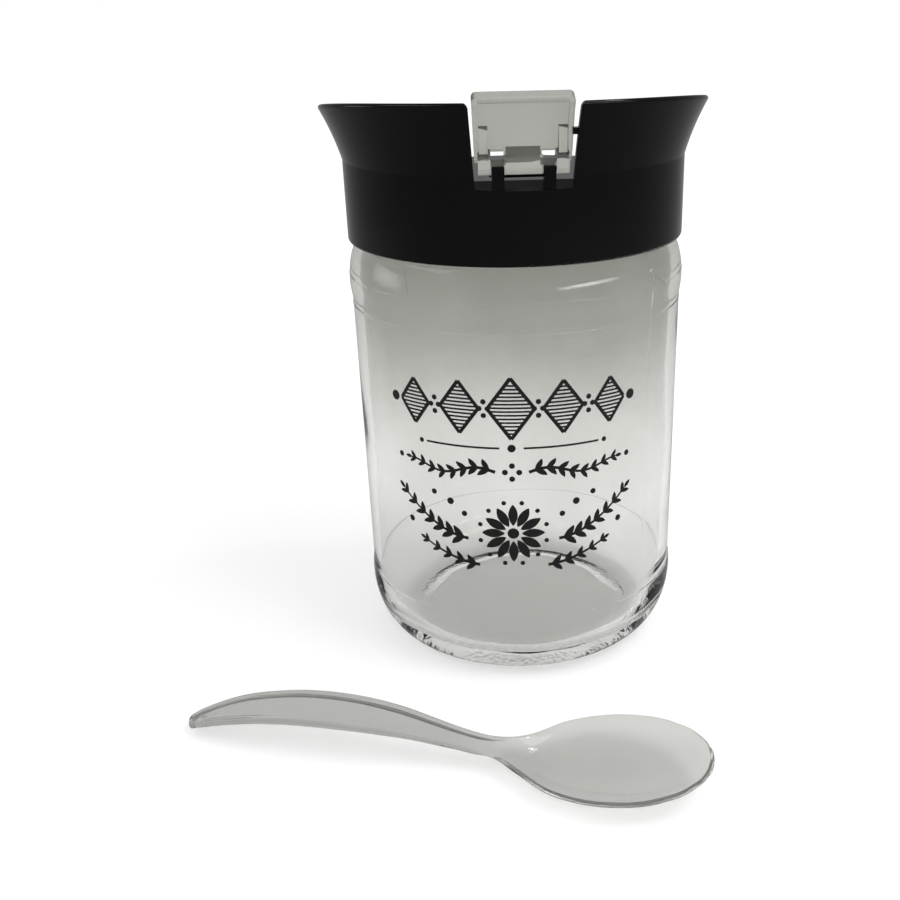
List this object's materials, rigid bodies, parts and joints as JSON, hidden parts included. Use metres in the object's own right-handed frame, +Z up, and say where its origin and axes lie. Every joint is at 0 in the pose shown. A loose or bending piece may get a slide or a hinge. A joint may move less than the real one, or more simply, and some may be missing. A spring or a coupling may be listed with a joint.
{
  "type": "sugar canister",
  "caption": "Glass canister with a black flared screw lid, a clear hinged pouring flap in its front notch, and a loose clear serving spoon.",
  "frame": {"origin": "on the jar's axis, at the surface that the jar stands on", "axes": "+Z up along the jar's axis, -Y towards the flap's hinge, +X to the right seen from the hinge side"},
  "size_m": [0.1472, 0.1601, 0.1621],
  "materials": {
    "glass": "clear polished",
    "black_plastic": "gloss black",
    "clear_plastic": "clear gloss",
    "seal": "soft matte"
  },
  "bodies": {
    "jar": {"glass_jar": "glass"},
    "seal": {"sealing_ring": "seal"},
    "lid": {"screw_lid": "black_plastic"},
    "flap": {"pour_flap": "clear_plastic"},
    "spoon": {"serving_spoon": "clear_plastic"}
  },
  "joints": [
    {"name": "lid_lift", "type": "slide", "parent": "jar", "child": "seal", "axis": [0, 0, 1], "range_m": [0, 0.045]},
    {"name": "lid_turn", "type": "hinge", "parent": "seal", "child": "lid", "pos_m": [0, 0, 0.134], "axis": [0, 0, 1], "range_deg": [0, 90]},
    {"name": "flap_hinge", "type": "hinge", "parent": "lid", "child": "flap", "pos_m": [0, -0.0437, 0.1453], "axis": [-1, 0, 0], "range_deg": [0, 108]},
    {"name": "spoon_lift", "type": "slide", "parent": "jar", "child": "spoon", "axis": [0, 0, 1], "range_m": [0, 0.06]}
  ]
}
